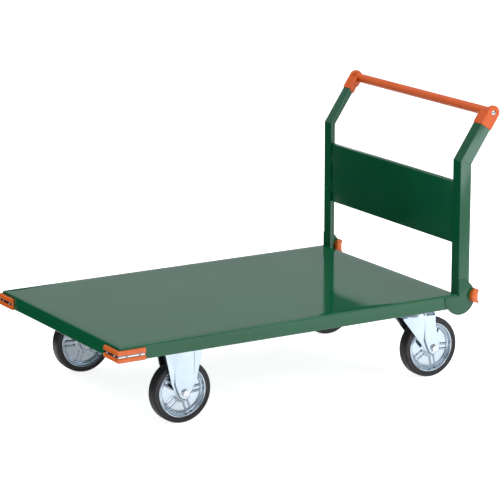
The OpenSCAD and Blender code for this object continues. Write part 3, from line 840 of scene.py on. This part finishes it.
def leg_row(z, top, front, lines):
    """One level of a leg's outside, from its left edge over the pressed channel to its right edge."""
    (left_line, right_line), (channel_left, channel_right) = lines
    margin, past_edge, knee_z, least_width = 1.2 * MM, 6 * MM, 30 * MM, 2 * MM
    left, right = between(left_line, z), between(right_line, z)
    start, end = max(between(channel_left, z), left + margin), min(between(channel_right, z), right - margin)
    if not front:
        # the rear leg's channel runs out over its back edge above the axle
        reach = smooth_step(z / knee_z)
        end = right + past_edge if z > knee_z else right - margin + past_edge * reach
    if z <= least_width - LEG_FOOT or end - start < least_width:
        middle = (left + right) / 2
        start, end = middle - least_width / 2, middle + least_width / 2
    wall = min((4 + 4 * smooth_step(z / top)) * MM, (end - start) * 0.4)
    drop = (5 + 4 * (top - z) / top) * MM
    floor_end, last = max(start + wall, min(end - wall, right)), min(end, right)
    across = spread(left, start, 3) + spread(start, start + wall, 6) + spread(start + wall, floor_end, 8)
    across += spread(floor_end, last, 6) + spread(last, right, 3) + [right]
    row = []
    for x in across:
        inside = min(x - start, end - x)
        if z < 0:
            inside = min(inside, LEG_END_R - margin - math.hypot(x, z))
        row.append(Vector((x, LEG_FACE - drop * (1 - smooth_step(inside / wall)), z)))
    return row


def pressed_fork(corner):
    """One sheet from the foot of one leg, over the crown, to the foot of the other."""
    front = corner in FRONT
    at = axle(corner)
    top = FORK_TOP["front" if front else "rear"] - at.z
    bend_r, crown, swell = 9 * MM, 8, 0.05
    lines = leg_lines(front, top / MM)
    heights = spread(top - bend_r, 0.0, 26) + [-LEG_FOOT * math.sin(math.pi / 2 * k / 18) for k in range(19)]
    leg = [leg_row(z, top, front, lines) for z in reversed(heights)]
    edge = leg[-1]
    for k in range(1, 7):
        a = math.pi / 2 * k / 6
        inward, up = bend_r * (1 - math.cos(a)), bend_r * (1 - math.sin(a))
        leg.append([Vector((v.x, v.y - inward, top - up)) for v in edge])
    middle = (edge[0].x + edge[-1].x) / 2
    over = []
    for k in range(1, crown):
        across = 1 - 2 * k / crown
        wide = 1 + swell * (1 - across ** 2)
        over.append([Vector((middle + (v.x - middle) * wide, (v.y - bend_r) * across, top)) for v in edge])
    far_leg = [[Vector((v.x, -v.y, v.z)) for v in row] for row in reversed(leg)]
    sheet = Build().loops([[v + at for v in row] for row in leg + over + far_leg],
                          close_ring=False, cap_start=False, cap_end=False)
    node = f"rigid_fork_{corner}" if front else f"swivel_fork_{corner}"
    made = sheet.piece(node + "_pressing", "zinc_fork", fork_body(corner), [node], sharp=50)
    if faces_inward(made):
        made.data.flip_normals()
    thick = made.modifiers.new("sheet", "SOLIDIFY")
    thick.thickness, thick.offset = LEG_SHEET, -1
    thick.use_even_offset = False
    soften(made, 0.7 * MM, 2, 60)


def faces_inward(made):
    """True if the leg's outside faces look towards the wheel."""
    return max(made.data.polygons, key=lambda face: face.center.y).normal.y < 0


def caster_plate(corner):
    """Flat plate with rounded corners that the bolts pass through."""
    centre_x = axle(corner).x if corner in FRONT else joint_at[f"swivel_{corner}_turn"].x
    half_x, half_y, r = 80 * MM, 59 * MM, 10 * MM
    outline = []
    for sx, sy, start in ((1, 1, 0), (-1, 1, 90), (-1, -1, 180), (1, -1, 270)):
        outline += arc((sx * (half_x - r), sy * (half_y - r)), r, start, start + 90, 6)
    plate = slab(outline, PLATE_LOW, PLATE_LOW + PLATE_T, 0.8 * MM, 2)
    return plate.moved(Matrix(((1, 0, 0, centre_x), (0, 0, 1, axle(corner).y), (0, 1, 0, 0), (0, 0, 0, 1))))


# Sections of the swivel head: distance from its axis and height above the floor, in mm
CUP = ((26, 223.4), (30, 222.6), (46, 222.6), (49, 224.5), (50, 228), (50, 232), (53, 236.5), (53, 237.5),
       (26, 237.5))
RACE = ((26, 205.8), (48, 205.8), (48.5, 210), (47.5, 214), (46, 219.5), (43, 221.4), (30, 221.4),
        (26, 220.6))
KINGPIN = ((0, 190), (8, 190), (8, 243), (15, 243), (15, 248), (13.5, 249), (0, 249))
KINGPIN_WASHER = ((8, 201.9), (15, 201.9), (15, 203.7), (8, 203.7))
KINGPIN_NUT_Z = 192.7 * MM


def swivel_heads():
    """Race cups, ball ring seal and kingpin of the swivel casters."""
    for corner in REAR:
        turn = joint_at[f"swivel_{corner}_turn"]
        axis = Matrix.Translation((turn.x, turn.y, 0))
        node = f"swivel_plate_{corner}"
        plate = caster_plate(corner).join(lathe_z(in_mm(CUP)), axis)
        plate.piece(node + "_forging", "zinc_fork", "frame", [node])
        race = lathe_z(in_mm(RACE)).moved(axis)
        race.piece(f"swivel_race_{corner}", "zinc_fork", f"swivel_{corner}")
        node = f"kingpin_{corner}"
        pin = lathe_z(in_mm(KINGPIN), closed=False)
        pin.join(hex_solid(24 * MM, 10 * MM), Matrix.Translation((0, 0, KINGPIN_NUT_Z)))
        pin.join(lathe_z(in_mm(KINGPIN_WASHER))).moved(axis)
        pin.piece(node + "_set", "steel_plain", "frame", [node])


def rigid_plates():
    for corner in FRONT:
        caster_plate(corner).piece(f"rigid_plate_{corner}", "zinc_fork", "frame")


def caster_bolts():
    """Hexagon bolts with their heads under the plate and nuts on the crossbars."""
    head_x, head_y = 9.2 * MM, 9.108 * MM
    for corner in CORNERS:
        node = f"caster_bolts_{corner}"
        lo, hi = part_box(node)
        made = Build()
        for x in (lo.x + head_x, hi.x - head_x):
            for y in (lo.y + head_y, hi.y - head_y):
                under = Matrix.Translation((x, y, PLATE_LOW))
                made.join(hex_solid(16 * MM, 5.8 * MM), pointing((x, y, PLATE_LOW), (0, 0, -1)))
                made.join(disc_z(5 * MM, 0, 24 * MM, 0.6 * MM), under)
                made.join(hex_solid(16 * MM, 8 * MM), under @ Matrix.Translation((0, 0, 9 * MM)))
        made.piece(node + "_set", "zinc_bright", "frame", [node])


# ---------------- wheels

# Side of the tyre: radius, and depth below the tyre's outermost plane, in mm
TYRE_SIDE = ((77, 5.5), (80.2, 3.2), (81.5, 2.2), (83, 2.0), (84.5, 2.6), (86, 2.9), (87.6, 2.6), (88.6, 1.2),
             (89.6, 0.25), (91.2, 0), (92.8, 0.2), (94.3, 1.0), (95.7, 2.4), (96.8, 4.4), (97.45, 7.2),
             (97.8, 10.8), (97.94, 15))
TREAD_MIDDLE = (1.2, 0.5)


def tyres():
    """Tread with a soft crown, shoulder step, sidewall bead and moulded rings."""
    for corner in CORNERS:
        node = f"tyre_{corner}"
        lo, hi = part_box(node)
        r, half = (hi.z - lo.z) / 2, (hi.y - lo.y) / 2
        side = [(radius, half - depth) for radius, depth in in_mm(TYRE_SIDE)]
        profile = mirrored(side + [(r, y * MM) for y in TREAD_MIDDLE])
        made = lathe(profile, 160).moved(Matrix.Translation(axle(corner)))
        made.piece(node + "_rubber", "tyre_rubber", wheel_body(corner), [node], sharp=40)


RIB_COUNT = 5
RIB_PHASE = {"front_left": 3, "front_right": 34, "rear_left": -6, "rear_right": 20}
RIB_PAIR, RIB_HALF_W, RIB_H = 7.6, 4.6, 4.2
RIB_FROM, RIB_TO, RIB_RUN_OUT = 30, 67.5, 4
# Sections of the rim: radius and height above the wheel's middle plane, in mm
DISC_FACE = ((20, 17.5), (24, 16.5), (28, 13.5), (32, 11.6), (36, 11.0), (60, 11.0), (64, 10.0), (67, 7.2),
             (70, 6.6), (72.5, 8.5), (74.0, 13.0), (75.0, 17.5), (76.4, 19.4), (78.2, 19.9), (79.6, 19.2),
             (80, 18.2))
DISC_RADII = (20, 22, 24, 26, 28, 30, 31, 32, 33, 34.5, 36, 39, 43, 47, 51, 55, 58, 60, 61.5, 63, 64.5, 66,
              67, 68.5, 70, 71.5, 72.5, 73.3, 74.0, 74.6, 75.2, 76.0, 77.0, 78.2, 79.2, 80.0)
DISC_BACK = ((80.0, 16.8), (77.5, 15.2), (75.5, 10.0), (72.0, 3.0), (40.0, 3.0), (20.0, 3.0))
HUB = ((14.0, 25.6), (14.4, 26.0), (19.4, 26.0), (20.4, 25.0), (20.4, 17.0), (21.5, 15.0))
BEAD_SEAT = ((76.0, 12.0), (77.4, 13.0), (77.4, 15.6), (76.0, 15.6))


def disc_height(r, angle):
    """Height of the pressed disc's face in mm, with its pairs of parallel ribs; the angle is from a pair."""
    for (ra, ha), (rb, hb) in zip(DISC_FACE, DISC_FACE[1:]):
        if r <= rb:
            break
    plain = ha + (hb - ha) * (r - ra) / (rb - ra)
    pitch = 2 * math.pi / RIB_COUNT
    across = r * math.sin((angle + pitch / 2) % pitch - pitch / 2)
    rib = smooth_step(1 - abs(abs(across) - RIB_PAIR) / RIB_HALF_W)
    ends = smooth_step((r - RIB_FROM) / RIB_RUN_OUT) * smooth_step((RIB_TO - r) / RIB_RUN_OUT)
    return plain + RIB_H * rib * ends


def rims():
    """Two pressed discs, a lip outside the tyre's bead, and a hub tube."""
    turn = full_turn(480)
    for corner in CORNERS:
        phase = math.radians(RIB_PHASE[corner])
        made = Build()
        for face in (1, -1):
            rings = [[Vector((r * math.cos(a), face * disc_height(r, a - phase), r * math.sin(a))) * MM
                      for a in turn] for r in DISC_RADII]
            rings += [[Vector((r * math.cos(a), face * h, r * math.sin(a))) * MM for a in turn]
                      for r, h in DISC_BACK]
            made.loops(rings, close_path=True)
        made.join(lathe(mirrored(in_mm(HUB)), 96))
        made.join(lathe(mirrored(in_mm(BEAD_SEAT)), 160))
        made.moved(Matrix.Translation(axle(corner)))
        made.piece(f"rim_{corner}_discs", "zinc_rim", wheel_body(corner), [f"rim_{corner}"], sharp=38)


def axle_sets():
    """Axle bolt head and nut, each on a washer, and the bolt's thread end."""
    washer_t = 2 * MM
    for corner in CORNERS:
        outward = side_sign(corner)
        made = Build()

        def add(solid, direction, above):
            seat = axle(corner) + Vector((0, direction * (LEG_FACE + above), 0))
            made.join(solid, pointing(seat, (0, direction, 0)))

        for direction, height in ((outward, 6 * MM), (-outward, 8 * MM)):
            add(disc_z(13.5 * MM, 0, washer_t, 0.4 * MM), direction, 0)
            add(hex_solid(21 * MM, height), direction, washer_t)
        add(disc_z(6.6 * MM, 0, 10 * MM, 1.0 * MM), -outward, washer_t)
        made.piece(f"axle_bolt_{corner}_set", "zinc_bright", fork_body(corner), [f"axle_bolt_{corner}"])


def cad_finishes():
    """Finishes the CAD nodes that keep their own shape, with softened edges."""
    turned = [f"{part}_{corner}" for corner in CORNERS for part in ("wheel_bearing", "axle_sleeve")]
    balls = [f"ball_ring_{corner}" for corner in REAR]
    slots = {part["node"]: part["material_slot"] for part in frame["record"]["subparts"]}
    for node in ["grip_pipe"] + turned + balls:
        made = frame["nodes"][node]
        made.data.materials.clear()
        made.data.materials.append(MATERIALS[slots[node]])
        if node not in balls:
            soften(made, 0.4 * MM, 2, 50).harden_normals = True


# ---------------- studio

def stage_sheet(name, corners, material):
    """A flat sheet of the studio: the floor or a card."""
    mesh = bpy.data.meshes.new(name)
    mesh.from_pydata(corners, [], [(0, 1, 2, 3)])
    mesh.materials.append(material)
    made = bpy.data.objects.new(name, mesh)
    bpy.context.scene.collection.objects.link(made)
    return made


def cloth(name, glow, upright):
    """Dark cloth that thins out towards its ends, and towards its top where it stands upright; with a glow it is a
    grey sheet of painted shade instead.
    """
    made = Nodes(name, Specular_IOR_Level=0.0, Roughness=1.0,
                 Emission_Color=(1, 1, 1, 1), Emission_Strength=glow)
    made.colour(made.mix(made.noise(20.0), (0.004, 0.004, 0.004), (0.006, 0.006, 0.006)))
    across = made.add("ShaderNodeTexCoord").outputs["Generated"]
    place = made.add("ShaderNodeSeparateXYZ", {0: across}).outputs
    from_end = made.add("ShaderNodeMath", {0: place["X"], 1: 0.5}, operation="PINGPONG").outputs[0]
    cover = made.ramp(from_end, 0.0, 1.0, 0.0, 0.12)
    if upright:
        from_top = made.ramp(place["Z"], 1.0, 0.0, 0.9, 1.0)
        cover = made.add("ShaderNodeMath", {0: cover, 1: from_top}, operation="MULTIPLY").outputs[0]
    made.tree.links.new(cover, made.shader.inputs["Alpha"])
    return made.material


def cards():
    """Sheets that only reflections show."""
    # the glowing grey sheet is painted shade: in reflections it stands in for the shaded floor under the deck
    black, grey = cloth("black_cloth", 0.0, True), cloth("painted_under_deck_shade", 0.7, False)
    # the way the front skirt sends the camera's look on, to its side, and up
    ahead, aside, up = Vector((-0.515, 0.857, 0)), Vector((0.857, 0.515, 0)), Vector((0, 0, 1))
    sheets = (("skirt_card", black, ahead * 0.5 - aside * 1.2, aside * 0.76, up * 0.22),
              ("low_card", black, ahead * 0.95 - aside * 1.2, aside * 2.4, up * 0.38),
              ("tall_card", black, ahead * 1.6 - aside * 1.0, aside * 2.4, up * 0.70),
              # painted shade: a glowing grey sheet under the deck, seen only in reflections, in place of the
              # floor's shadow there
              ("under_card", grey, Vector((-1.05, 0.42, 0.002)), Vector((1.65, 0, 0)), Vector((0, -0.84, 0))))
    for name, finish, corner, along, across in sheets:
        card = stage_sheet(name, [corner, corner + along, corner + along + across, corner + across], finish)
        card.visible_camera = card.visible_diffuse = card.visible_shadow = False


def wall():
    """Even light from around, as white as the table where they meet and greyer higher up."""
    at_table, higher_up, fade_height = 1.3, 0.52, 0.15
    world = bpy.data.worlds.new("studio")
    bpy.context.scene.world = world
    world.use_nodes = True
    tree = world.node_tree
    background = tree.nodes["Background"]
    background.inputs["Color"].default_value = (0.98, 0.97, 1.04, 1)
    split = tree.nodes.new("ShaderNodeSeparateXYZ")
    fade = tree.nodes.new("ShaderNodeMapRange")
    levels = (("From Min", 0.0), ("From Max", fade_height), ("To Min", at_table), ("To Max", higher_up))
    for socket, value in levels:
        fade.inputs[socket].default_value = value
    tree.links.new(tree.nodes.new("ShaderNodeTexCoord").outputs["Generated"], split.inputs[0])
    tree.links.new(split.outputs["Z"], fade.inputs["Value"])
    tree.links.new(fade.outputs["Result"], background.inputs["Strength"])


def softbox(name, place, aim, size, power, colour=(1, 1, 1), mirrored=True):
    """A rectangular light that the camera doesn't see; its power is in watts."""
    light = bpy.data.lights.new(name, "AREA")
    light.shape, light.size, light.size_y = "RECTANGLE", size[0], size[1]
    light.energy, light.color = power, colour
    made = bpy.data.objects.new(name, light)
    made.location = place
    made.rotation_euler = (Vector(aim) - Vector(place)).to_track_quat("-Z", "Y").to_euler()
    made.visible_camera = False
    made.visible_glossy = mirrored
    bpy.context.scene.collection.objects.link(made)


def studio():
    """Lit white table, a light wall, soft boxes above and on the near side, and the cards."""
    reach, glow, cool = 40, 0.83, (0.86, 0.95, 1.0)
    paper = Nodes("floor_paper", Specular_IOR_Level=0.0, Roughness=1.0,
                  Emission_Color=(1, 1, 1, 1), Emission_Strength=glow)
    paper.colour(paper.mix(paper.ramp(paper.noise(0.6, 2.0), 0.0, 1.0, 0.3, 0.7),
                           (0.66, 0.66, 0.66), (0.64, 0.64, 0.645)))
    stage_sheet("floor", [(-reach, -reach, 0), (reach, -reach, 0), (reach, reach, 0), (-reach, reach, 0)],
                paper.material)
    cards()
    wall()
    softbox("top_box", (-0.7, -0.2, 4.0), (-0.3, 0, 0), (6.5, 6.5), 290)
    softbox("near_strip", (1.46, -1.89, 0.45), (0.56, -0.39, 0.45), (1.7, 0.26), 6.4, cool)
    softbox("near_fill", (1.46, -1.89, 1.3), (0.4, -0.3, 0.5), (1.7, 1.2), 33, cool, mirrored=False)


def camera():
    """A long lens that looks down at the near front corner from a distance."""
    lens, sensor, clips = 182.66, 36.0, (0.1, 200)
    heading, down = math.radians(31.063), math.radians(13.597)
    # measured from the deck's front face, the middle plane and the floor
    place = (deck_lo.x - 3.3323, -6.6576, 2.2886)
    data = bpy.data.cameras.new("camera")
    data.lens, data.sensor_width = lens, sensor
    data.clip_start, data.clip_end = clips
    made = bpy.data.objects.new("camera", data)
    made.location = place
    level = math.cos(down)
    look = Vector((math.sin(heading) * level, math.cos(heading) * level, -math.sin(down)))
    made.rotation_euler = look.to_track_quat("-Z", "Y").to_euler()
    bpy.context.scene.collection.objects.link(made)
    bpy.context.scene.camera = made


deck_pan()
crossbars()
corner_bumpers()
posts()
handle_panel()
gusset_plates()
weld_beads()
rear_bumpers()
grip_brackets()
grip()
for corner_name in CORNERS:
    pressed_fork(corner_name)
rigid_plates()
swivel_heads()
caster_bolts()
tyres()
rims()
axle_sets()
cad_finishes()
studio()
camera()
bpy.context.scene.view_settings.view_transform = "Standard"
